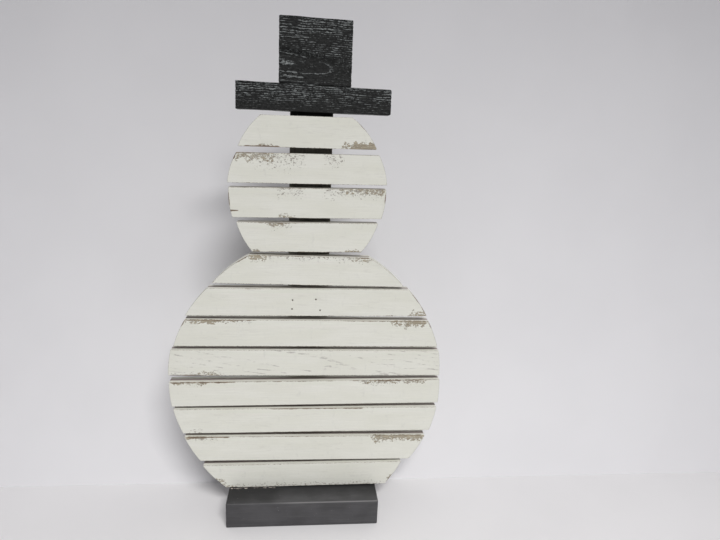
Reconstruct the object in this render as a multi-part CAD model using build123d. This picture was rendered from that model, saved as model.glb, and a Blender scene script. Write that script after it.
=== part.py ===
"""A standing snowman built from painted timber slats.

Twelve horizontal slats, cut to two round outlines, are nailed across one upright spine board.
A two-board top hat is nailed to the top of the spine, and the spine stands on a solid base
block, held by two wood screws driven up through the block.

Millimetres. X is to the viewer's right, -Y is the front, +Z is up. The origin is on the table,
midway across the body's outline and midway through the base block.
"""

import math
import os

from build123d import *

# Timber stock
BOARD_THICKNESS = 19.0
SPINE_WIDTH = 55.7
BASE_LENGTH = 214.0
BASE_DEPTH = 89.0
BASE_HEIGHT = 38.1

# Places of the uprights
SPINE_X = -1.2
SPINE_FRONT_Y = 11.5
BASE_X = -3.0

# The slats' ends are sawn to two round outlines of these radii
HEAD_RADIUS = 105.0
BODY_RADIUS = 190.0

# Slats from the bottom up: the gap under the slat, its height, and its tilt in degrees, where a
# positive tilt lifts the right end, then how far its corners reach from the middle: left and
# right at its top edge, left and right at its bottom edge
BODY_SLATS = (
    (0.8, 36.7, 0.35, 147.0, 141.0, 114.5, 118.5),
    (6.1, 37.9, -0.35, 171.5, 174.0, 150.0, 152.0),
    (7.1, 37.0, 0.2, 185.0, 188.0, 172.5, 179.5),
    (5.6, 36.5, 0.6, 189.5, 189.2, 186.5, 189.2),
    (8.1, 37.6, 0.0, 185.5, 185.0, 189.8, 188.5),
    (5.7, 37.9, 0.1, 165.5, 167.0, 181.5, 182.5),
    (6.2, 38.3, 0.4, 135.0, 136.5, 165.0, 164.5),
    (5.3, 39.7, -0.3, 79.5, 80.0, 129.0, 129.5),
)
HEAD_SLATS = (
    (5.4, 39.3, 0.85, 96.0, 89.5, 75.5, 68.0),
    (6.1, 39.2, 0.9, 105.5, 98.0, 101.0, 93.5),
    (5.3, 38.3, 0.85, 95.5, 87.0, 107.0, 99.0),
    (7.0, 39.3, 0.7, 65.0, 50.5, 93.5, 84.0),
)

# The hat: two boards, whose top edges fall slightly towards the right
HAT_GAP = 4.5
BRIM_LEFT = -95.7
BRIM_RIGHT = 98.9
BRIM_HEIGHT_LEFT = 34.1
BRIM_HEIGHT_RIGHT = 32.0
CROWN_LEFT = -43.0
CROWN_RIGHT = 47.5
CROWN_HEIGHT_LEFT = 78.0
CROWN_HEIGHT_RIGHT = 77.8
SPINE_BELOW_CROWN_TOP = 18.0

# Edges
SLAT_EASE = 0.8
HAT_EASE = 0.8
HAT_ROUNDED_CORNER = 2.5
SPINE_EASE = 1.0
BASE_EASE = 1.8

# Brad nails: places on a slat, across from the spine's middle and up from the slat's middle
BRAD_PLACES = ((-21.0, 3.0), (10.5, 4.5), (-21.5, -9.5), (16.5, -11.0))
BRIM_BRAD_PLACES = ((-18.0, 8.0), (17.0, 9.0), (-17.0, -8.0), (18.0, -9.0))
CROWN_BRAD_PLACES = ((-18.0, 14.0), (17.0, 13.0), (-17.0, -22.0), (18.0, -21.0))
BRAD_SHANK_R = 0.6
BRAD_HEAD_R = 1.0
BRAD_HEAD_HEIGHT = 0.8
BRAD_SET_DEPTH = 0.4
BRAD_TIP = 1.6
BRAD_TIP_R = 0.1
BRAD_LENGTH = 32.0

# Wood screws from under the base into the spine's end
SCREW_SPACING = 24.0
SCREW_LENGTH = 57.0
SCREW_SHANK_R = 2.1
SCREW_HEAD_R = 4.2
SCREW_HEAD_HEIGHT = 3.2
SCREW_SET_DEPTH = 1.0
SCREW_TIP = 6.0
SCREW_TIP_R = 0.3
SCREW_RECESS_SPAN = 4.4
SCREW_RECESS_WIDTH = 1.1
SCREW_RECESS_DEPTH = 1.8


def upright_plane(y):
    """A plane facing the front at depth y, whose own x and y are the part's X and Z."""
    return Plane(origin=(0, y, 0), x_dir=(1, 0, 0), z_dir=(0, -1, 0))


def board_on_spine(outline):
    """A board of that flat outline, lying against the front of the spine."""
    return extrude(upright_plane(SPINE_FRONT_Y) * outline, BOARD_THICKNESS)


def ease_front(board, width):
    """Takes the sharpness off the edges round a board's front face."""
    front = board.faces().sort_by(Axis.Y)[0]
    return chamfer(front.edges(), width)


def stack_up(rows, start):
    """Turns each row's gap into the height of the slat's middle, and gives the last slat's top."""
    placed = []
    for gap, height, *shape in rows:
        start += gap
        placed.append((start + height / 2, height, *shape))
        start += height
    return placed, start


def bowed_end(top, bottom, radius, side):
    """A slat's sawn end: an arc of that radius through its two corners, bowed to that side."""
    chord = Vector(*top) - Vector(*bottom)
    bow = chord.length**2 / (8 * radius)
    outwards = side * Vector(chord.Y, -chord.X).normalized()
    middle = (Vector(*top) + Vector(*bottom)) / 2 + bow * outwards
    return ThreePointArc(top, middle, bottom)


def slat(radius, row):
    """One slat: a straight, slightly tilted board whose ends follow a round outline."""
    middle, height, tilt, left_top, right_top, left_bottom, right_bottom = row
    rise = math.tan(math.radians(tilt))
    corners = [
        (x, middle + up * height / 2 + x * rise)
        for x, up in ((-left_top, 1), (right_top, 1), (right_bottom, -1), (-left_bottom, -1))
    ]
    top_left, top_right, bottom_right, bottom_left = corners
    edges = [
        Line(top_left, top_right),
        bowed_end(top_right, bottom_right, radius, 1),
        Line(bottom_right, bottom_left),
        bowed_end(top_left, bottom_left, radius, -1),
    ]
    return ease_front(board_on_spine(make_face(edges)), SLAT_EASE)


def brad():
    """A brad that points down -Z, with the board's face at Z 0 and its head just below."""
    head_top = -BRAD_SET_DEPTH
    shank_top = head_top - BRAD_HEAD_HEIGHT
    tip_top = head_top - BRAD_LENGTH + BRAD_TIP
    hang = (Align.CENTER, Align.CENTER, Align.MAX)
    head = Cylinder(BRAD_HEAD_R, BRAD_HEAD_HEIGHT, align=hang)
    shank = Cylinder(BRAD_SHANK_R, shank_top - tip_top, align=hang)
    tip = Cone(BRAD_TIP_R, BRAD_SHANK_R, BRAD_TIP, align=hang)
    return Pos(0, 0, head_top) * head + Pos(0, 0, shank_top) * shank + Pos(0, 0, tip_top) * tip


def brad_hole():
    """What a brad takes out of the wood: its own shape, and the pit above its head."""
    hang = (Align.CENTER, Align.CENTER, Align.MAX)
    pit = Cylinder(BRAD_HEAD_R, BRAD_SET_DEPTH, align=hang)
    return brad() + pit


def at_front(tool, places, middle):
    """Copies of a brad or its hole, driven into the front of a board at places round its middle."""
    face = upright_plane(SPINE_FRONT_Y - BOARD_THICKNESS)
    return [face * Pos(SPINE_X + x, middle + z) * tool for x, z in places]


def screw_blank():
    """A countersunk wood screw pointing up +Z, before its cross recess is cut."""
    shank_bottom = SCREW_SET_DEPTH + SCREW_HEAD_HEIGHT
    tip_bottom = SCREW_SET_DEPTH + SCREW_LENGTH - SCREW_TIP
    stand = (Align.CENTER, Align.CENTER, Align.MIN)
    head = Cone(SCREW_HEAD_R, SCREW_SHANK_R, SCREW_HEAD_HEIGHT, align=stand)
    shank = Cylinder(SCREW_SHANK_R, tip_bottom - shank_bottom, align=stand)
    tip = Cone(SCREW_SHANK_R, SCREW_TIP_R, SCREW_TIP, align=stand)
    return (
        Pos(0, 0, SCREW_SET_DEPTH) * head
        + Pos(0, 0, shank_bottom) * shank
        + Pos(0, 0, tip_bottom) * tip
    )


def screw_hole():
    """What a screw takes out of the wood: its own shape, and the pit below its head."""
    stand = (Align.CENTER, Align.CENTER, Align.MIN)
    return screw_blank() + Cylinder(SCREW_HEAD_R, SCREW_SET_DEPTH, align=stand)


def screw():
    """The screw with its cross recess."""
    recess = Box(SCREW_RECESS_SPAN, SCREW_RECESS_WIDTH, 2 * SCREW_RECESS_DEPTH)
    recess += Box(SCREW_RECESS_WIDTH, SCREW_RECESS_SPAN, 2 * SCREW_RECESS_DEPTH)
    return screw_blank() - Pos(0, 0, SCREW_SET_DEPTH) * recess


def at_screw_places(tool):
    """Copies of a screw or its hole at the two places under the spine."""
    spine_middle = SPINE_FRONT_Y + BOARD_THICKNESS / 2
    return [
        Pos(SPINE_X + side * SCREW_SPACING / 2, spine_middle, 0) * tool for side in (-1, 1)
    ]


def base_block():
    """The solid block that the figure stands on, its edges eased all round."""
    block = Pos(BASE_X, 0, BASE_HEIGHT / 2) * Box(BASE_LENGTH, BASE_DEPTH, BASE_HEIGHT)
    return fillet(block.edges(), BASE_EASE)


def spine_board(top):
    """The upright board behind the slats, standing on the base."""
    length = top - BASE_HEIGHT
    middle_y = SPINE_FRONT_Y + BOARD_THICKNESS / 2
    board = Pos(SPINE_X, middle_y, BASE_HEIGHT + length / 2) * Box(
        SPINE_WIDTH, BOARD_THICKNESS, length
    )
    return fillet(board.edges().filter_by(Axis.Z), SPINE_EASE)


def hat_brim(bottom):
    """The wide lower board of the hat."""
    outline = Polygon(
        (BRIM_LEFT, bottom),
        (BRIM_RIGHT, bottom),
        (BRIM_RIGHT, bottom + BRIM_HEIGHT_RIGHT),
        (BRIM_LEFT, bottom + BRIM_HEIGHT_LEFT),
        align=None,
    )
    right_corners = outline.vertices().sort_by(Axis.X)[-2:]
    return ease_front(board_on_spine(fillet(right_corners, HAT_ROUNDED_CORNER)), HAT_EASE)


def brim_top(bottom, x):
    """Height of the brim's top edge at x."""
    share = (x - BRIM_LEFT) / (BRIM_RIGHT - BRIM_LEFT)
    return bottom + BRIM_HEIGHT_LEFT + share * (BRIM_HEIGHT_RIGHT - BRIM_HEIGHT_LEFT)


def hat_crown(bottom):
    """The upper board of the hat, whose foot follows the brim's top edge."""
    left = brim_top(bottom, CROWN_LEFT)
    right = brim_top(bottom, CROWN_RIGHT)
    outline = Polygon(
        (CROWN_LEFT, left),
        (CROWN_RIGHT, right),
        (CROWN_RIGHT, right + CROWN_HEIGHT_RIGHT),
        (CROWN_LEFT, left + CROWN_HEIGHT_LEFT),
        align=None,
    )
    top_right = outline.vertices().sort_by(SortBy.DISTANCE)[-1]
    return ease_front(board_on_spine(fillet(top_right, HAT_ROUNDED_CORNER)), HAT_EASE)


def write(name, pieces):
    """Writes one node: a single solid, or a group of separate ones."""
    group = Compound(label=name, children=list(pieces)) if len(pieces) > 1 else pieces[0]
    group.label = name
    export_step(group, f"parts/{name}.step")


os.makedirs("parts", exist_ok=True)

body_rows, body_top = stack_up(BODY_SLATS, BASE_HEIGHT)
head_rows, head_top = stack_up(HEAD_SLATS, body_top)
hat_bottom = head_top + HAT_GAP
crown_foot = brim_top(hat_bottom, CROWN_LEFT)
spine_top = crown_foot + CROWN_HEIGHT_LEFT - SPINE_BELOW_CROWN_TOP

spine = spine_board(spine_top)
for group, radius, rows in (("body", BODY_RADIUS, body_rows), ("head", HEAD_RADIUS, head_rows)):
    brads = []
    for number, row in enumerate(reversed(rows), start=1):
        holes = at_front(brad_hole(), BRAD_PLACES, row[0])
        spine -= holes
        brads += at_front(brad(), BRAD_PLACES, row[0])
        write(f"{group}_slat_{number}", [slat(radius, row) - holes])
    write(f"{group}_slat_brads", brads)

hat_brads = []
for name, board, places, foot, height in (
    ("hat_brim", hat_brim(hat_bottom), BRIM_BRAD_PLACES, hat_bottom, BRIM_HEIGHT_LEFT),
    ("hat_crown", hat_crown(hat_bottom), CROWN_BRAD_PLACES, crown_foot, CROWN_HEIGHT_LEFT),
):
    middle = foot + height / 2
    holes = at_front(brad_hole(), places, middle)
    spine -= holes
    hat_brads += at_front(brad(), places, middle)
    write(name, [board - holes])
write("hat_brads", hat_brads)

screw_holes = at_screw_places(screw_hole())
write("spine_board", [spine - screw_holes])
write("base_block", [base_block() - screw_holes])
write("base_screws", at_screw_places(screw()))
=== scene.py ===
"""Looks of the wooden snowman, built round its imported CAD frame.

The slats, the hat's two boards and the spine are rebuilt as fine meshes on the CAD boards'
outlines, with worn arrises, wavy saw cuts and grain. The base, nails and screws keep their
CAD shapes. Lengths in the board code are millimetres, and the scene is in metres.
"""

import math

import bpy
import numpy as np
from mathutils import Matrix, Vector
from mathutils.geometry import convex_hull_2d


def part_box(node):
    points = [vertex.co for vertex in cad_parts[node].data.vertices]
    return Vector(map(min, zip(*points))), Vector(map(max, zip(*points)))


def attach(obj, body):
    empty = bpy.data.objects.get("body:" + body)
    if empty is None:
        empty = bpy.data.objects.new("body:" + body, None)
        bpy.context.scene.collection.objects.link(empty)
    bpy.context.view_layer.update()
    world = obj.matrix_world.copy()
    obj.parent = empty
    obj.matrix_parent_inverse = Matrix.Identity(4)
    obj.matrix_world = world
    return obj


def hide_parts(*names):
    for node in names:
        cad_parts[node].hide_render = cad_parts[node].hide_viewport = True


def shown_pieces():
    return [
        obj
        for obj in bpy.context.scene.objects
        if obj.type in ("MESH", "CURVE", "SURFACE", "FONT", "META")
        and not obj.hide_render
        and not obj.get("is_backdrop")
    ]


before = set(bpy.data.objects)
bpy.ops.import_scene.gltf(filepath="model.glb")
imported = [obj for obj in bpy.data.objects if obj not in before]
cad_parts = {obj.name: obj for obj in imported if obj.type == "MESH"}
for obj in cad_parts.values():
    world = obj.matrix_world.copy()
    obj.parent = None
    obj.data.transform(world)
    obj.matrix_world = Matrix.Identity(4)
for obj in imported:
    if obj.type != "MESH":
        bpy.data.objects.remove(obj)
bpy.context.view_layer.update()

MM = 0.001
BODY = "root"
HEAD_SLATS = [f"head_slat_{number}" for number in range(1, 5)]
BODY_SLATS = [f"body_slat_{number}" for number in range(1, 9)]
GRAINY_SLAT = "body_slat_4"
NAILED_SLAT = "body_slat_2"
WHOLE_EDGE = (-400, 900)  # mm, past both ends of every edge
PIT_RADIUS = 1.55  # mm
NAIL_HEAD_SPACING = 3.0  # mm
SPLIT_SLAT = "head_slat_3"
SPLIT_RISE = 9.0  # mm up the slat's left end
RIDGE_SPACING = 5.2  # mm

# How worn a patch gets. Flaked paint keeps islands of paint in it, which bare wood hardly does.
MOST_WORN = {"flaked": 0.02, "bare": 0.24}


# ---------------------------------------------------------------- camera


def aim_camera():
    """The camera stands before the snowman at the height of its head, and looks slightly down."""
    position = (-0.0061, -0.7161, 0.5326)
    yaw, pitch, roll = (math.radians(angle) for angle in (5.95, 13.07, 2.40))
    forward = Vector(
        (math.sin(yaw) * math.cos(pitch), math.cos(yaw) * math.cos(pitch), -math.sin(pitch))
    )
    level = Vector((math.cos(yaw), -math.sin(yaw), 0))
    upright = level.cross(forward)
    right = math.cos(roll) * level + math.sin(roll) * upright
    up = math.cos(roll) * upright - math.sin(roll) * level
    camera = bpy.data.objects.new("camera", bpy.data.cameras.new("camera"))
    camera.data.lens = 27.08
    camera.data.clip_start = 0.01
    turn = Matrix((right, up, -forward)).transposed().to_4x4()
    camera.matrix_world = Matrix.Translation(position) @ turn
    bpy.context.scene.collection.objects.link(camera)
    bpy.context.scene.camera = camera


# ---------------------------------------------------------------- noise and small shape helpers


def smooth(value):
    """Eases from 0 at 0 to 1 at 1, and stays level outside."""
    value = np.clip(value, 0, 1)
    return value * value * (3 - 2 * value)


def scrambled(cells, seed):
    """A fixed number from 0 to 1 for each whole-number cell."""
    mixed = cells.astype(np.uint64) * np.array([73856093, 19349663, 83492791], np.uint64)
    mixed = np.bitwise_xor.reduce(mixed, axis=-1) + np.uint64(seed * 2654435761 % 2**32)
    for shift in (15, 12, 16):
        mixed = (mixed ^ (mixed >> np.uint64(shift))) * np.uint64(2246822519)
        mixed &= np.uint64(0xFFFFFFFF)
    return mixed.astype(float) / 2**32


def noise(place, cell, seed):
    """Smooth noise from 0 to 1 at points, with features of about that size along each axis."""
    scaled = np.asarray(place, float) / np.asarray(cell, float)
    corner = np.floor(scaled)
    share = smooth(scaled - corner)
    corner = corner.astype(np.int64)
    total = 0
    for step in np.ndindex(2, 2, 2):
        weight = np.prod(np.where(step, share, 1 - share), axis=-1)
        total = total + weight * scrambled(corner + np.array(step), seed)
    return total


def rough(place, cell, seed, octaves=3):
    """Noise with finer and weaker noise on top, from 0 to 1."""
    total, weight, size = 0, 1, np.asarray(cell, float)
    for octave in range(octaves):
        total = total + weight * noise(place, size, seed + octave)
        weight, size = weight / 2, size / 2
    return total / (2 - 2 * weight)


def along_line(position, cell, seed, octaves=2):
    """Rough noise along a single direction."""
    place = np.stack([position, np.zeros_like(position), np.zeros_like(position)], axis=-1)
    return rough(place, (cell, 1, 1), seed, octaves)


def graded(length, finest, coarsest, growth):
    """Fractions of a length for grid lines, closest together near its two ends."""
    lines, step = [0.0], finest
    while lines[-1] < length / 2:
        lines.append(lines[-1] + step)
        step = min(step * growth, coarsest)
    half = np.array(lines) / lines[-1] / 2
    return np.concatenate([half, 1 - half[-2::-1]])


def vertices(node):
    """A CAD node's vertices in mm."""
    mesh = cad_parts[node].data
    place = np.empty(len(mesh.vertices) * 3, np.float32)
    mesh.vertices.foreach_get("co", place)
    return place.reshape(-1, 3).astype(float) / MM


# ---------------------------------------------------------------- boards


def hull_sides(node):
    """The curves of a board's two ends seen from the front, each from bottom to top."""
    flat = vertices(node)[:, [0, 2]]
    hull = flat[convex_hull_2d([tuple(point) for point in flat])]
    # The hull runs anticlockwise, so its longest step to the right is the board's bottom edge.
    steps = np.roll(hull, -1, axis=0) - hull
    bottom, top = int(steps[:, 0].argmax()), int(steps[:, 0].argmin())
    count = len(hull)
    right = hull[np.arange(bottom + 1, bottom + 1 + (top - bottom - 1) % count + 1) % count]
    left = hull[np.arange(top + 1, top + 1 + (bottom - top - 1) % count + 1) % count][::-1]
    return left, right


def along(curve, fraction):
    """Points of a curve at fractions of the straight way from its first point to its last."""
    chord = curve[-1] - curve[0]
    reach = (curve - curve[0]) @ chord / (chord @ chord)
    return np.stack([np.interp(fraction, reach, curve[:, axis]) for axis in (0, 1)], axis=-1)


def to_curve(points, curve):
    """Each point's distance to a curve, and the unit direction of the curve there."""
    steps = np.diff(curve, axis=0)
    length = np.hypot(*steps.T)
    keep = length > 1e-4
    start, steps, length = curve[:-1][keep], steps[keep], length[keep]
    offset = points[:, None] - start
    share = np.clip((offset * steps).sum(-1) / length**2, 0, 1)
    gap = offset - share[..., None] * steps
    distance = np.hypot(gap[..., 0], gap[..., 1])
    nearest = distance.argmin(axis=1)
    return distance[np.arange(len(points)), nearest], (steps / length[:, None])[nearest]


def box_grid(counts):
    """The grid points on a box's surface as whole numbers, and its faces, all facing outwards."""
    corners = []
    for axis in range(3):
        first, second = (axis + 1) % 3, (axis + 2) % 3
        a, b = np.meshgrid(
            np.arange(counts[first] - 1), np.arange(counts[second] - 1), indexing="ij"
        )
        for end in (0, counts[axis] - 1):
            turns = ((0, 0), (1, 0), (1, 1), (0, 1)) if end else ((0, 0), (0, 1), (1, 1), (1, 0))
            face = np.empty((a.size, 4, 3), int)
            face[:, :, axis] = end
            for corner, (da, db) in enumerate(turns):
                face[:, corner, first] = (a + da).ravel()
                face[:, corner, second] = (b + db).ravel()
            corners.append(face)
    corners = np.concatenate(corners)
    grid, quads = np.unique(corners.reshape(-1, 3), axis=0, return_inverse=True)
    return grid, quads.reshape(-1, 4)


def eased(place, pairs, radius):
    """Rounds a wedge between each point's two nearest sides and the nearest broad face.

    pairs holds two (distance, outward direction) for the sides and one for the broad face.
    The point moves along the line from the rounded edge's middle, so no faces fold over.
    """
    (d1, n1), (d2, n2), (d3, n3) = pairs
    g1, g2, g3 = radius - d1, radius - d2, np.maximum(radius - d3, 0)
    across = np.clip((n1 * n2).sum(-1), -0.999, 0.999)
    both1 = (g1 - across * g2) / (1 - across**2)
    both2 = (g2 - across * g1) / (1 - across**2)
    corner = (both1 > 0) & (both2 > 0)
    pull1 = np.where(corner, both1, np.where(both2 <= 0, np.maximum(g1, 0), 0))
    pull2 = np.where(corner, both2, np.where(both2 <= 0, 0, np.maximum(g2, 0)))
    pull = pull1[:, None] * n1 + pull2[:, None] * n2 + g3[:, None] * n3
    length = np.linalg.norm(pull, axis=1)
    most = np.max([(pull * n).sum(-1) for n in (n1, n2, n3)], axis=0)
    scale = np.where(length > 1e-9, most / np.maximum(length, 1e-9), 1)
    outward = pull / np.maximum(length, 1e-9)[:, None]
    return place - pull * (1 - scale)[:, None], outward


class Board:
    """A board's surface as points in mm, with each point's distance from its edges and faces.

    Columns, rows and layers each give graded()'s finest step, coarsest step and growth. Extra
    gives the spots on the front face that need finer lines.
    """

    def __init__(self, node, columns, rows, layers, extra=()):
        self.node = node
        corners = vertices(node)
        self.front_y, self.back_y = corners[:, 1].min(), corners[:, 1].max()
        self.sides = hull_sides(node)
        left, right = self.sides
        self.middle = (left.mean(axis=0) + right.mean(axis=0)) / 2
        width = np.linalg.norm(right.mean(axis=0) - left.mean(axis=0))
        height = np.linalg.norm(left[-1] - left[0])
        u, v = graded(width, *columns), graded(height, *rows)
        if len(extra):
            u, v = self.with_lines_at(u, v, width, height, extra)
        w = graded(self.back_y - self.front_y, *layers)
        grid, self.quads = box_grid((len(u), len(w), len(v)))
        self.place = self.spread(u[grid[:, 0]], w[grid[:, 1]], v[grid[:, 2]])
        self.worn = np.full(len(self.place), -1.0)
        self.stained = np.full(len(self.place), -1.0)
        self.specked = np.zeros(len(self.place))
        self.gap_wood_and_shade = np.zeros(len(self.place))
        self.measure()

    def spread(self, u, w, v):
        """The flat-sided board's points at fractions across, through and up the board."""
        left, right = (along(side, v) for side in self.sides)
        flat = left + (right - left) * u[:, None]
        y = self.front_y + (self.back_y - self.front_y) * w
        return np.stack([flat[:, 0], y, flat[:, 1]], axis=-1)

    def with_lines_at(self, u, v, width, height, spots):
        """Adds grid lines close round each spot, an (x, z) on the front face."""
        left, right = self.sides
        near = np.array([-1.7, -1.2, -0.8, -0.4, 0, 0.4, 0.8, 1.2, 1.7])
        for x, z in spots:
            up = np.interp(z, left[:, 1], (left[:, 1] - left[0, 1]) / (left[-1, 1] - left[0, 1]))
            start, end = (along(side, up)[0] for side in self.sides)
            u = np.append(u, (x - start) / (end - start) + near / width)
            v = np.append(v, up + near / height)
        return tuple(np.unique(np.round(lines, 4)) for lines in (u, v))

    def measure(self):
        """Finds each point's distances from the sides and faces, and the sides' directions."""
        flat = self.place[:, [0, 2]]
        left, right = self.sides
        self.distance, self.facing = {}, {}
        edges = {
            "left": (left, 1),
            "right": (right, -1),
            "top": (np.stack([left[-1], right[-1]]), 1),
            "bottom": (np.stack([left[0], right[0]]), -1),
        }
        for name, (curve, turn) in edges.items():
            self.distance[name], step = to_curve(flat, curve)
            out = np.zeros((len(flat), 3))
            out[:, 0], out[:, 2] = -turn * step[:, 1], turn * step[:, 0]
            self.facing[name] = out
        self.distance["front"] = self.place[:, 1] - self.front_y
        self.distance["back"] = self.back_y - self.place[:, 1]
        self.rise = self.distance["bottom"].copy()

    def nearer(self, one, other):
        """For each point the nearer of two opposite sides: its distance and outward direction."""
        first = self.distance[one] <= self.distance[other]
        distance = np.where(first, self.distance[one], self.distance[other])
        return distance, np.where(first[:, None], self.facing[one], self.facing[other])

    def ease(self, front_radius, back_radius):
        """Rounds all the board's edges, and keeps the outward direction of every point."""
        front = self.distance["front"] <= self.distance["back"]
        facing = np.zeros_like(self.place)
        facing[:, 1] = np.where(front, -1, 1)
        depth = np.where(front, self.distance["front"], self.distance["back"])
        sides = [self.nearer("left", "right"), self.nearer("bottom", "top")]
        radius = np.where(front, front_radius, back_radius)
        self.place, self.outward = eased(self.place, [*sides, (depth, facing)], radius)

    def break_corner(self, side, edge, radius):
        """Rounds one of the board's corners seen from the front, more than the others."""
        d1, n1 = self.distance[side], self.facing[side]
        d2, n2 = self.distance[edge], self.facing[edge]
        far = (np.full(len(self.place), 1e3), np.zeros_like(self.place))
        self.place, _ = eased(self.place, [(d1, n1), (d2, n2), far], radius)

    def sink(self, depth):
        """Moves points into the board by that much."""
        self.place = self.place - self.outward * np.asarray(depth)[..., None]

    def from_arris(self, edge):
        """Distance from an edge's front arris, and place along that edge.

        Depth behind the front face counts for more, so that wear stays near the face.
        """
        distance = self.distance[edge] + 2.5 * self.distance["front"]
        position = self.place[:, 0] if edge in ("top", "bottom") else self.rise
        return distance, position

    def mark(self, kind, edge, start, end, reach, seed):
        """Adds wear along part of an edge: bare or flaked paint, a brown line or specks."""
        distance, position = self.from_arris(edge)
        # The wear fades in and out at the two ends of its stretch.
        ease = min(7, (end - start) / 3)
        inside = smooth((position - start) / ease) * smooth((end - position) / ease)
        if kind == "specks":
            density = inside * np.sqrt(np.clip(1 - distance / reach, 0, 1))
            self.specked = np.maximum(self.specked, density)
            return
        ragged = reach * inside * (0.35 + 1.1 * along_line(position, 5, seed))
        amount = np.clip((ragged - distance) / 10, -1, 1)
        amount = np.where(inside > 0, amount, -1)
        if kind == "line":
            self.stained = np.maximum(self.stained, amount)
        else:
            self.worn = np.maximum(self.worn, np.minimum(amount, MOST_WORN[kind]))

    def to_object(self, name, rings, show, finish):
        """Makes the piece from the board's points, with its wear, grain and painted gap shade for
        the finish to read.
        """
        mesh = bpy.data.meshes.new(name)
        mesh.from_pydata((self.place * MM).tolist(), [], self.quads.tolist())
        mesh.shade_smooth()
        values = {
            "worn": self.worn,
            "stained": self.stained,
            "specked": self.specked,
            "gap_wood_and_shade": self.gap_wood_and_shade,
            "rings": rings,
            "show": show,
        }
        for key, value in values.items():
            attribute = mesh.attributes.new(key, "FLOAT", "POINT")
            attribute.data.foreach_set("value", np.asarray(value, np.float32))
        piece = bpy.data.objects.new(name, mesh)
        bpy.context.scene.collection.objects.link(piece)
        mesh.materials.append(finish)
        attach(piece, BODY)
        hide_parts(self.node)
        return piece


def growth_rings(place, pith, slope, spacing, seed):
    """Each point's growth-ring number, for a board sawn beside a pith line nearly along X."""
    wander = 9 * rough(place, (120, 60, 60), seed) + 2.5 * rough(place, (35, 14, 14), seed + 7)
    y = place[:, 1] - pith[0]
    z = place[:, 2] - pith[1] - slope * place[:, 0]
    return (np.hypot(y, z) + wander) / spacing


# ---------------------------------------------------------------- finishes


class Finish:
    """A node material under construction, with short calls for the nodes it uses."""

    def __init__(self, name):
        self.material = bpy.data.materials.new(name)
        self.material.use_nodes = True
        self.tree = self.material.node_tree
        self.shader = self.tree.nodes["Principled BSDF"]
        self.spot = self.add("ShaderNodeTexCoord").outputs["Object"]

    def put(self, socket, value):
        if isinstance(value, bpy.types.NodeSocket):
            self.tree.links.new(value, socket)
        else:
            socket.default_value = value

    def add(self, kind, sockets=None, **settings):
        node = self.tree.nodes.new(kind)
        for key, value in settings.items():
            setattr(node, key, value)
        for key, value in (sockets or {}).items():
            self.put(node.inputs[key], value)
        return node

    def attribute(self, name):
        return self.add("ShaderNodeAttribute", attribute_name=name).outputs["Fac"]

    def math(self, operation, first, second=0.0, third=0.0):
        sockets = {0: first, 1: second, 2: third}
        return self.add("ShaderNodeMath", sockets, operation=operation).outputs[0]

    def noise(self, cell, detail=2.0, roughness=0.5, warp=0.0):
        """Noise whose features are about cell = (x, y, z) mm in size."""
        scale = [1 / (size * MM) for size in cell]
        place = self.add("ShaderNodeMapping", {"Vector": self.spot, "Scale": scale})
        sockets = {
            "Vector": place.outputs[0],
            "Scale": 1.0,
            "Detail": detail,
            "Roughness": roughness,
            "Distortion": warp,
        }
        return self.add("ShaderNodeTexNoise", sockets).outputs["Fac"]

    def ramp(self, value, low, high, start=0.0, end=1.0):
        """Goes smoothly from start to end as value goes from low to high."""
        sockets = {0: value, 1: low, 2: high, 3: start, 4: end}
        node = self.add("ShaderNodeMapRange", sockets, interpolation_type="SMOOTHSTEP")
        return node.outputs[0]

    def blend(self, factor, first, second):
        """A colour between two colours."""
        node = self.add("ShaderNodeMix", data_type="RGBA")
        for index, value in ((0, factor), (6, first), (7, second)):
            is_colour = isinstance(value, tuple)
            self.put(node.inputs[index], (*value, 1.0) if is_colour else value)
        return node.outputs[2]

    def bump(self, height, depth, below=None):
        """Relief of that depth in mm, on top of the relief below."""
        sockets = {"Height": height, "Strength": 1.0, "Distance": depth * MM}
        if below is not None:
            sockets["Normal"] = below
        return self.add("ShaderNodeBump", sockets).outputs[0]

    def finish(self, colour, roughness, normal, specular=0.5, metallic=0.0):
        sockets = {
            "Base Color": colour,
            "Roughness": roughness,
            "Normal": normal,
            "Specular IOR Level": specular,
            "Metallic": metallic,
        }
        for key, value in sockets.items():
            self.put(self.shader.inputs[key], value)
        return self.material


def ring_lines(finish, sharpness):
    """Dark latewood lines from the board's growth rings, as 0 to 1."""
    turn = finish.math("MULTIPLY", finish.attribute("rings"), 2 * math.pi)
    wave = finish.math("SINE", turn)
    return finish.ramp(wave, sharpness, 1.0)


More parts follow.
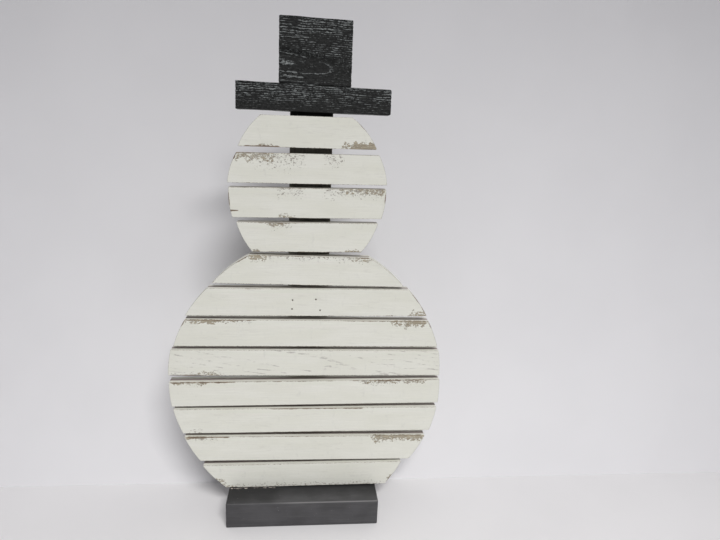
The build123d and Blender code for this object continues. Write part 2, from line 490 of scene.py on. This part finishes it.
def white_paint():
    """Chalky cream paint over pine, flaked off the edges in streaks and specks."""
    f = Finish("white_paint")
    flakes = f.noise((3.4, 2.0, 1.9), 4.0, 0.68, 0.3)
    worn = f.math("MULTIPLY_ADD", flakes, 1.7, f.math("ADD", f.attribute("worn"), -0.85))
    bare = f.ramp(worn, -0.01, 0.035)
    fine = f.noise((2.2, 1.2, 0.9), 3.0, 0.6)
    stained = f.math("MULTIPLY_ADD", fine, 0.24, f.math("ADD", f.attribute("stained"), -0.12))
    stain = f.ramp(stained, -0.015, 0.02)
    crumbs = f.noise((2.4, 1.6, 1.5), 2.0, 0.6)
    speck = f.ramp(f.math("MULTIPLY_ADD", f.attribute("specked"), 0.26, crumbs), 0.80, 0.84)

    grain = ring_lines(f, 0.55)
    broken = f.ramp(f.noise((11, 5, 2.0), 3.0, 0.62), 0.50, 0.66)
    shown = f.math("MULTIPLY", f.math("MULTIPLY", grain, broken), f.attribute("show"))

    clouds = f.ramp(f.noise((70, 30, 16), 3.0), 0.3, 0.7)
    cream = f.blend(clouds, (0.732, 0.733, 0.655), (0.782, 0.781, 0.722))
    strokes = f.ramp(f.noise((45, 8, 0.9), 3.0, 0.6), 0.3, 0.75, 0.35, 1.0)
    brushed = f.blend(strokes, (0.69, 0.69, 0.625), cream)
    mottle = f.ramp(f.noise((3.2, 4.0, 2.6), 3.0, 0.6), 0.5, 0.75, 0.0, 0.3)
    brushed = f.blend(mottle, brushed, (0.66, 0.665, 0.61))
    smudges = f.ramp(f.noise((7, 9, 16), 3.0, 0.55), 0.60, 0.8, 0.0, 0.35)
    smudged = f.blend(smudges, brushed, (0.585, 0.585, 0.545))
    grained = f.blend(shown, smudged, (0.48, 0.46, 0.43))

    fibres = f.noise((14, 1.6, 0.6), 4.0, 0.65)
    wood = f.blend(f.ramp(fibres, 0.35, 0.65), (0.255, 0.222, 0.168), (0.47, 0.42, 0.32))
    # Bare wood darkens just inside the paint's edge: partly dirt, partly painted shade from the
    # paint's raised edge.
    wood = f.blend(f.ramp(worn, 0.0, 0.12, 0.75, 0.0), wood, (0.14, 0.118, 0.092))
    dark = f.blend(f.ramp(fibres, 0.3, 0.7), (0.13, 0.098, 0.072), (0.29, 0.225, 0.165))
    colour = f.blend(bare, grained, wood)
    # Darker brown deep in the gaps between the slats: partly bare wood, partly painted shade.
    colour = f.blend(f.attribute("gap_wood_and_shade"), colour, (0.30, 0.245, 0.235))
    colour = f.blend(speck, colour, (0.36, 0.335, 0.295))
    colour = f.blend(stain, colour, dark)

    removed = f.math("MAXIMUM", f.math("MAXIMUM", bare, speck), stain)
    relief = f.bump(f.noise((30, 2.2, 0.7), 3.0, 0.6), 0.10)
    relief = f.bump(f.noise((3, 3, 3), 2.0), 0.05, relief)
    relief = f.bump(shown, -0.15, relief)
    relief = f.bump(removed, -0.22, relief)
    relief = f.bump(f.math("MULTIPLY", fibres, bare), 0.3, relief)
    roughness = f.ramp(removed, 0.0, 1.0, 0.62, 0.85)
    return f.finish(colour, roughness, relief, 0.35)


def hat_paint():
    """Black paint over wire-brushed boards, glossy on the broken ridges and dull between them, with
    a painted highlight in light grey on the ridges.
    """
    f = Finish("hat_paint")
    warp = f.noise((11, 8, 5), 3.0, 0.55)
    turn = f.math("MULTIPLY_ADD", warp, 9.0, f.math("MULTIPLY", f.attribute("rings"), 4 * math.pi))
    ridges = f.ramp(f.math("SINE", turn), -0.3, 0.9)
    dashes = f.ramp(f.noise((8, 3, 1.6), 4.0, 0.6, 0.6), 0.42, 0.58)
    curls = f.ramp(f.noise((2.8, 2.8, 1.8), 3.0, 0.6, 0.8), 0.36, 0.60)
    raised = f.math("MULTIPLY_ADD", ridges, 0.55, f.math("MULTIPLY", dashes, 0.45))
    raised = f.math("MULTIPLY", raised, f.math("MULTIPLY_ADD", curls, 0.6, 0.4))
    raised = f.math("MULTIPLY", raised, f.attribute("show"))
    paint = f.blend(curls, (0.0055, 0.006, 0.0058), (0.019, 0.020, 0.0195))
    # Light grey on the ridges: a painted highlight where they catch the light.
    colour = f.blend(f.ramp(raised, 0.22, 0.75), paint, (0.29, 0.31, 0.31))
    relief = f.bump(raised, 1.3)
    relief = f.bump(f.noise((1.6, 1.6, 1.2), 2.0, 0.6), 0.14, relief)
    return f.finish(colour, f.ramp(raised, 0.1, 0.6, 0.6, 0.3), relief, 0.24)


def base_paint():
    """Satin charcoal paint on a planed block: painted shade and pale drips round the lowest slat's
    joint, and a painted highlight along its front top arris.
    """
    f = Finish("base_paint")
    block_low, block_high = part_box("base_block")
    slat_low, slat_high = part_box("body_slat_8")
    half_slat = (slat_high.y - slat_low.y) / 2
    place = f.add("ShaderNodeSeparateXYZ", {0: f.spot}).outputs
    streaks = f.noise((60, 10, 1.4), 4.0, 0.62)
    clouds = f.noise((40, 30, 18), 3.0, 0.55)
    colour = f.blend(f.ramp(clouds, 0.3, 0.7), (0.052, 0.051, 0.054), (0.072, 0.071, 0.075))
    colour = f.blend(f.ramp(streaks, 0.45, 0.75, 0.0, 0.6), colour, (0.100, 0.098, 0.101))

    # Painted shade on the block's top round the lowest slat's joint, reaching further at the left.
    on_top = f.ramp(place["Z"], block_high.z - 1.0 * MM, block_high.z - 0.2 * MM)
    from_middle = f.math("ABSOLUTE", f.math("SUBTRACT", place["Y"], slat_low.y + half_slat))
    from_joint = f.math("SUBTRACT", from_middle, half_slat)
    at_left = f.ramp(place["X"], -55 * MM, -35 * MM, 1.0, 0.0)
    further = f.math("MULTIPLY_ADD", at_left, -14 * MM, from_joint)
    spread = f.math("MULTIPLY_ADD", clouds, 20 * MM, further)
    joint_shade = f.ramp(spread, 9 * MM, 46 * MM, 0.85, 0.0)
    colour = f.blend(f.math("MULTIPLY", joint_shade, on_top), colour, (0.012, 0.012, 0.013))
    drops = f.math("MULTIPLY_ADD", f.noise((5, 2, 2), 3.0, 0.6), -16 * MM, from_joint)
    dripped = f.math("MULTIPLY", f.ramp(drops, -7.5 * MM, -7.1 * MM, 1.0, 0.0), on_top)
    beside = f.ramp(from_joint, 0.4 * MM, 0.8 * MM)
    dripped = f.math("MULTIPLY", dripped, f.math("MULTIPLY", beside, at_left))
    colour = f.blend(dripped, colour, (0.66, 0.59, 0.54))

    # A lighter band along the front top arris, growing towards the right: a painted highlight.
    corner = block_high.z - block_low.y
    arris = f.ramp(f.math("SUBTRACT", place["Z"], place["Y"]), corner - 1.7 * MM, corner - 1.1 * MM)
    rubbed = f.math("MULTIPLY", arris, f.ramp(place["X"], -50 * MM, -10 * MM, 0.1, 0.7))
    colour = f.blend(rubbed, colour, (0.20, 0.195, 0.195))
    dust = f.noise((1.6, 1.6, 1.6), 2.0, 0.6)
    colour = f.blend(f.ramp(dust, 0.735, 0.77, 0.0, 0.8), colour, (0.36, 0.33, 0.33))
    relief = f.bump(streaks, 0.12)
    relief = f.bump(f.noise((2.5, 2.5, 2.5), 3.0, 0.6), 0.05, relief)
    return f.finish(colour, f.ramp(streaks, 0.3, 0.7, 0.45, 0.6), relief, 0.3)


def spine_paint():
    """Flat olive-black paint over planed timber, with the hat's black on its upper end."""
    f = Finish("spine_paint")
    fibres = f.noise((2.0, 1.5, 45), 4.0, 0.62)
    olive = f.blend(f.ramp(fibres, 0.35, 0.7), (0.10, 0.096, 0.080), (0.15, 0.143, 0.120))
    height = f.add("ShaderNodeSeparateXYZ", {0: f.spot}).outputs["Z"]
    wavy = f.math("MULTIPLY_ADD", f.noise((5, 5, 3), 3.0), 6 * MM, height)
    top_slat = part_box("head_slat_1")[1].z
    colour = f.blend(f.ramp(wavy, top_slat, top_slat + 2 * MM), olive, (0.014, 0.014, 0.014))
    rubbed = f.ramp(f.math("ADD", f.attribute("worn"), f.math("MULTIPLY", fibres, 0.3)), 0.1, 0.2)
    colour = f.blend(f.math("MULTIPLY", rubbed, 0.6), colour, (0.20, 0.16, 0.12))
    relief = f.bump(fibres, 0.22)
    relief = f.bump(f.noise((3, 3, 3), 2.0), 0.05, relief)
    return f.finish(colour, f.ramp(fibres, 0.3, 0.7, 0.6, 0.78), relief, 0.35)


def steel(name, bright, dull, roughness):
    """Metal with a patchy film of dirt."""
    f = Finish(name)
    film = f.noise((1.2, 1.2, 1.2), 3.0, 0.6)
    colour = f.blend(f.ramp(film, 0.35, 0.65), bright, dull)
    relief = f.bump(f.noise((0.4, 0.4, 0.4), 2.0), 0.03)
    return f.finish(colour, f.ramp(film, 0.3, 0.7, roughness, roughness + 0.2), relief, 0.5, 0.9)


# ---------------------------------------------------------------- slats

# Wear on each slat, as a person sees it from the front: what it is, the edge it starts from,
# where it starts and ends (mm from the snowman's middle, or up the slat at its ends), and how
# far it reaches into the face (mm).
WEAR = {
    "head_slat_1": (
        ("line", "bottom", -88, -36, 1.5),
        ("flaked", "bottom", -70, -46, 4.0),
        ("bare", "bottom", 48, 86, 8.0),
        ("flaked", "bottom", 36, 60, 8.5),
        ("line", "right", 14, 38, 0.8),
    ),
    "head_slat_2": (
        ("flaked", "top", -104, -44, 11),
        ("line", "left", 28, 39, 2.2),
        ("line", "top", -100, -52, 1.2),
        ("specks", "top", -84, -4, 32),
        ("specks", "top", 10, 48, 24),
    ),
    "head_slat_3": (
        ("line", "top", -106, 100, 0.6),
        ("flaked", "top", 34, 99, 6.5),
        ("specks", "top", 12, 98, 20),
        ("line", "right", 18, 38, 1.4),
        ("flaked", "bottom", -44, -18, 4.5),
        ("specks", "top", -50, 0, 20),
        ("line", "left", 11, 36, 1.0),
        ("line", "left", SPLIT_RISE - 1.3, SPLIT_RISE + 1.3, 15),
    ),
    "head_slat_4": (
        ("line", "top", -72, -4, 0.9),
        ("specks", "top", -60, -20, 13),
        ("flaked", "top", -60, -30, 5),
        ("bare", "bottom", -77, -63, 3),
        ("bare", "bottom", 44, 69, 3.4),
        ("line", "bottom", -60, 66, 0.7),
    ),
    "body_slat_1": (
        ("line", "left", 26, 40, 1.2),
        ("bare", "top", -84, -62, 5.0),
        ("flaked", "top", -84, -54, 8.0),
        ("line", "top", -60, 0, 0.9),
        ("specks", "top", -60, 40, 9),
        ("flaked", "top", 50, 88, 5.5),
        ("specks", "top", 30, 90, 12),
        ("line", "top", 62, 84, 1.6),
    ),
    "body_slat_2": (
        ("bare", "bottom", 148, 168, 4.0),
        ("flaked", "bottom", 136, 168, 7.0),
        ("line", "bottom", 104, 120, 1.2),
        ("line", "right", 2, 36, 1.0),
        ("line", "top", -90, -60, 0.6),
    ),
    "body_slat_3": (
        ("bare", "top", -170, -118, 3.6),
        ("flaked", "top", -170, -96, 5.5),
        ("line", "top", -168, -68, 1.3),
        ("line", "left", 26, 38, 1.5),
        ("specks", "top", -110, -70, 9),
        ("line", "top", 40, 168, 0.9),
        ("bare", "top", 128, 168, 6.0),
        ("flaked", "top", 112, 168, 8.5),
        ("line", "right", 26, 38, 1.6),
    ),
    "body_slat_4": (
        ("flaked", "bottom", -154, -120, 5.0),
        ("specks", "bottom", -190, -110, 8),
        ("line", "bottom", -190, -138, 1.2),
    ),
    "body_slat_5": (
        ("line", "top", -190, -96, 1.9),
        ("flaked", "top", -188, -134, 3.6),
        ("line", "top", -105, 40, 0.8),
        ("flaked", "top", 76, 172, 4.4),
        ("line", "top", 96, 168, 1.6),
        ("specks", "top", 66, 172, 11),
        ("line", "top", 60, 188, 1.0),
    ),
    "body_slat_6": (
        ("line", "top", -56, 84, 1.2),
        ("line", "bottom", -60, 60, 0.6),
        ("specks", "bottom", -168, -140, 12),
    ),
    "body_slat_7": (
        ("line", "top", -172, -106, 2.0),
        ("bare", "top", -172, -138, 3.5),
        ("specks", "top", -160, -120, 11),
        ("bare", "top", 98, 176, 6.2),
        ("flaked", "top", 92, 174, 8.0),
        ("line", "top", -100, 60, 0.5),
    ),
    "body_slat_8": (
        ("flaked", "left", -8, 22, 8.0),
        ("bare", "right", 2, 22, 4.6),
        ("flaked", "bottom", -140, -96, 4.0),
        ("specks", "bottom", -130, 120, 10),
        ("line", "bottom", -100, 100, 0.6),
    ),
}
# Corners that have been knocked round: the slat's end, its edge and the radius (mm).
BROKEN_CORNERS = {
    "body_slat_6": (("right", "bottom", 3.5),),
    "body_slat_7": (("right", "bottom", 7.0),),
    "body_slat_8": (("left", "bottom", 4.0),),
}


def centres(points, spacing):
    """The middles of clusters of points that stand further apart than the spacing."""
    found = []
    for point in points:
        if all(np.hypot(*(point - other)) > spacing for other in found):
            found.append(point)
    near = [points[np.hypot(*(points - point).T) < spacing] for point in found]
    return [(group.min(axis=0) + group.max(axis=0)) / 2 for group in near]


def nail_pits(board, nails):
    """Small pits in the front face over the heads of the slat's nails."""
    pit = np.zeros(len(board.place))
    for x, z in nails:
        reach = np.hypot(board.place[:, 0] - x, board.place[:, 2] - z)
        pit = np.maximum(pit, smooth((PIT_RADIUS - reach) / 0.7))
    return np.where(board.distance["front"] < 0.5, pit, 0)


def build_slat(node, seed, finish):
    """One white slat with its listed wear."""
    nails, splits = [], []
    low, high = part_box(node)
    if node == SPLIT_SLAT:
        splits = [(low.x / MM + SPLIT_RISE, low.z / MM + SPLIT_RISE)]
    if node == NAILED_SLAT:
        heads = vertices("body_slat_brads")
        heads = heads[(heads[:, 2] > low.z / MM) & (heads[:, 2] < high.z / MM)]
        nails = centres(heads[:, [0, 2]], NAIL_HEAD_SPACING)
    board = Board(node, (0.3, 2.0, 1.4), (0.25, 2.2, 1.22), (0.25, 2.4, 1.6), nails + splits)
    # The paint is rubbed through to a thin brown line along every front arris.
    for number, edge in enumerate(("top", "bottom", "left", "right")):
        reach = 0.28 if edge in ("top", "right") else 0.24
        board.mark("line", edge, *WHOLE_EDGE, reach, seed + 20 + number)
    for number, (kind, edge, start, end, reach) in enumerate(WEAR[node]):
        board.mark(kind, edge, start, end, reach, seed + 30 + number)
    rubbed = smooth(board.worn * 6 + 0.5)
    pits = nail_pits(board, nails)
    depth = np.minimum(board.distance["front"], board.distance["back"])
    beside = np.minimum(board.distance["top"], board.distance["bottom"])
    # Deep in the narrow gaps the rear of each top and bottom face is darker: partly bare wood the
    # brush has hardly reached, partly painted shade where the next slat shades the gap.
    gap_dark_from, gap_dark_fade = 6.0, 1.8
    board.gap_wood_and_shade = 0.95 * smooth((depth - gap_dark_from) / gap_dark_fade) * smooth((1.2 - beside) / 0.6)
    place = board.place.copy()
    for side, edge, radius in BROKEN_CORNERS.get(node, ()):
        board.break_corner(side, edge, radius)
        board.measure()
    uneven = rough(place, (14, 6, 6), seed)
    board.ease(0.45 + 0.35 * uneven + 1.1 * rubbed, 0.4 + 0.3 * uneven)
    wavy = 0.22 * rough(place, (30, 12, 12), seed + 1) + 0.10 * rough(place, (5, 3, 3), seed + 2)
    board.sink(wavy + 0.12 * rubbed + 0.55 * pits)
    # The pits' middles take the dark line colour: painted shade in the nail holes.
    board.stained = np.maximum(board.stained, (pits - 0.75) * 0.5)

    grainy = node == GRAINY_SLAT
    pith = (board.back_y + 18 + 25 * scrambled(np.array([[seed, 1, 1]]), 5)[0], board.middle[1])
    slope = -0.17 if grainy else 0.06 * scrambled(np.array([[seed, 2, 2]]), 5)[0] - 0.03
    rings = growth_rings(place, pith, slope, 3.2, seed + 3)
    behind = smooth(board.distance["front"] / 8)
    show = np.maximum(1.0 if grainy else 0.15, 0.55 * behind)
    board.to_object(f"{node}_board", rings, show, finish)


# ---------------------------------------------------------------- hat and spine


def hat_phase(board, crown):
    """Ridge lines along a hat board, bent round a pointed growth figure on the crown's left."""
    x = board.place[:, 0] - board.place[:, 0].min()
    z = board.rise
    flat = np.stack([x, board.place[:, 1], z], axis=-1)
    phase = z / RIDGE_SPACING + 1.5 * rough(flat, (60, 25, 18), 11 if crown else 12)
    if not crown:
        return phase
    length, height, rise, slope = 54, 9, 25, 0.09
    figure = np.hypot(x / length, (z - rise + slope * x) / height)
    return phase + (figure - phase) * smooth((2.0 - figure) / 0.8)


def build_hat(node, seed, finish):
    """One of the hat's boards, with its wire-brushed ridges standing out in relief."""
    crown = node == "hat_crown"
    board = Board(node, (0.3, 1.0, 1.3), (0.3, 0.95, 1.3), (0.35, 1.5, 1.5))
    place = board.place.copy()
    phase = hat_phase(board, crown)
    board.ease(0.7 + 0.4 * rough(place, (6, 3, 3), seed), 0.8)
    ridge = (0.5 + 0.5 * np.sin(2 * np.pi * phase)) ** 2
    lively = rough(place, (24, 12, 7), seed + 1)
    ripple = rough(place, (9, 4, 1.8), seed + 2)
    curl = rough(place, (3.2, 3.2, 2.2), seed + 3)
    relief = 0.6 * (1 - ridge) * smooth(lively * 2 - 0.4) + 0.4 * (1 - ripple) + 0.2 * (1 - curl)
    board.sink(0.7 * relief)
    # The ridges, their relief and their painted highlight show most towards each board's top; on
    # the crown also towards its right, and along its ridges towards its left.
    height = board.rise / board.rise.max()
    across = (place[:, 0] - place[:, 0].min()) / np.ptp(place[:, 0])
    busy = height
    if crown:
        busy = np.maximum(height * (0.5 + 0.5 * across), 1.2 * ridge * (1 - across))
    show = 0.40 + 0.60 * smooth(busy * 1.3 - 0.1) * smooth(lively * 2.2 - 0.35)
    board.to_object(f"{node}_board", phase, show, finish)


def build_spine(finish):
    """The upright board that carries the slats, seen in the gaps and from behind."""
    node = "spine_board"
    board = Board(node, (0.35, 2.5, 1.5), (0.35, 3.2, 1.5), (0.35, 2.5, 1.6))
    place = board.place.copy()
    for number, edge in enumerate(("left", "right", "top", "bottom")):
        board.mark("bare", edge, *WHOLE_EDGE, 0.8, 60 + number)
    uneven = rough(place, (8, 6, 30), 71)
    board.ease(0.7 + 0.5 * uneven, 0.7 + 0.5 * uneven)
    board.sink(0.25 * rough(place, (6, 6, 60), 72) + 0.1 * rough(place, (4, 4, 8), 73))
    board.to_object("spine_timber", place[:, 0] / 4, np.zeros(len(place)), finish)


# ---------------------------------------------------------------- stage and light


def plane(name, corners, finish):
    mesh = bpy.data.meshes.new(name)
    mesh.from_pydata(corners, [], [(0, 1, 2, 3)])
    mesh.materials.append(finish)
    sheet = bpy.data.objects.new(name, mesh)
    bpy.context.scene.collection.objects.link(sheet)
    sheet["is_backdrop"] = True
    return sheet


def plain(name, low, high, one_sided=False):
    """A pale matte surface with very faint clouds; one-sided, it isn't there from behind."""
    f = Finish(name)
    colour = f.blend(f.ramp(f.noise((160, 160, 160), 3.0), 0.3, 0.7), low, high)
    relief = f.bump(f.noise((1.2, 1.2, 1.2), 2.0), 0.03)
    f.finish(colour, 0.9, relief, 0.15)
    if one_sided:
        back = f.add("ShaderNodeNewGeometry").outputs["Backfacing"]
        clear = f.add("ShaderNodeBsdfTransparent").outputs[0]
        mixed = f.add("ShaderNodeMixShader", {0: back, 1: f.shader.outputs[0], 2: clear})
        f.tree.links.new(mixed.outputs[0], f.tree.nodes["Material Output"].inputs["Surface"])
    return f.material


def lamp(name, place, target, size, power, colour, spread=180):
    """A soft flat light, aimed at the target, that fades out beyond its spread in degrees."""
    light = bpy.data.lights.new(name, "AREA")
    light.shape = "RECTANGLE"
    light.size, light.size_y = size
    light.energy, light.color, light.spread = power, colour, math.radians(spread)
    # Lamps linked to some pieces alone would otherwise light those pieces too strongly.
    light.cycles.use_multiple_importance_sampling = False
    holder = bpy.data.objects.new(name, light)
    holder.location = place
    aim = Vector(target) - Vector(place)
    holder.rotation_mode = "QUATERNION"
    holder.rotation_quaternion = aim.to_track_quat("-Z", "Y")
    bpy.context.scene.collection.objects.link(holder)
    return holder


def set_stage():
    """A pale table top, and a pale wall leaning back behind it that shows only from the front."""
    reach = 3.0
    wall_foot = 0.062
    wall_top = 0.612
    wall_height = 2.2
    plane(
        "floor",
        [(-reach, -reach, 0), (reach, -reach, 0), (reach, reach, 0), (-reach, reach, 0)],
        plain("floor", (0.775, 0.765, 0.775), (0.795, 0.785, 0.795)),
    )
    wall = plane(
        "wall",
        [
            (-reach, wall_foot, 0),
            (reach, wall_foot, 0),
            (reach, wall_top, wall_height),
            (-reach, wall_top, wall_height),
        ],
        plain("wall", (0.76, 0.755, 0.775), (0.78, 0.775, 0.795), one_sided=True),
    )
    wall.visible_shadow = False


def set_lights():
    """Soft light from above and in front, and a low light for the back of the pieces alone."""
    lamp(
        "window",
        place=(0.6, -2.6, 2.97),
        target=(-0.05, -0.3, -0.45),
        size=(1.8, 0.35),
        power=14.4,
        colour=(1.0, 0.995, 0.98),
        spread=56,
    )
    behind = lamp(
        "behind",
        place=(0.4, 1.3, 0.035),
        target=(0, 0, 0.3),
        size=(1.6, 0.05),
        power=5,
        colour=(1.0, 1.0, 1.0),
    )
    pieces = bpy.data.collections.new("pieces")
    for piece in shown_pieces():
        pieces.objects.link(piece)
    behind.light_linking.receiver_collection = pieces
    world = bpy.data.worlds.new("studio")
    world.use_nodes = True
    sky = world.node_tree.nodes["Background"]
    sky.inputs["Color"].default_value = (0.96, 0.95, 1.0, 1.0)
    sky.inputs["Strength"].default_value = 0.24
    bpy.context.scene.world = world
    bpy.context.scene.view_settings.view_transform = "Standard"


# ---------------------------------------------------------------- scene


def repaint(node, finish):
    """Gives a CAD node that keeps its shape a better material."""
    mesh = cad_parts[node].data
    mesh.materials.clear()
    mesh.materials.append(finish)


aim_camera()

cream = white_paint()
for number, slat in enumerate(HEAD_SLATS + BODY_SLATS):
    build_slat(slat, 100 * (number + 1), cream)

black = hat_paint()
for number, node in enumerate(("hat_brim", "hat_crown")):
    build_hat(node, 2000 + 100 * number, black)

build_spine(spine_paint())
repaint("base_block", base_paint())
nail_steel = steel("nail_steel", (0.20, 0.18, 0.16), (0.09, 0.06, 0.045), 0.45)
for node in ("head_slat_brads", "body_slat_brads"):
    repaint(node, nail_steel)
repaint("hat_brads", black)  # their heads are painted over with the hat
repaint("base_screws", steel("screw_zinc", (0.62, 0.55, 0.36), (0.45, 0.38, 0.24), 0.32))

set_stage()
set_lights()

bpy.context.view_layer.update()
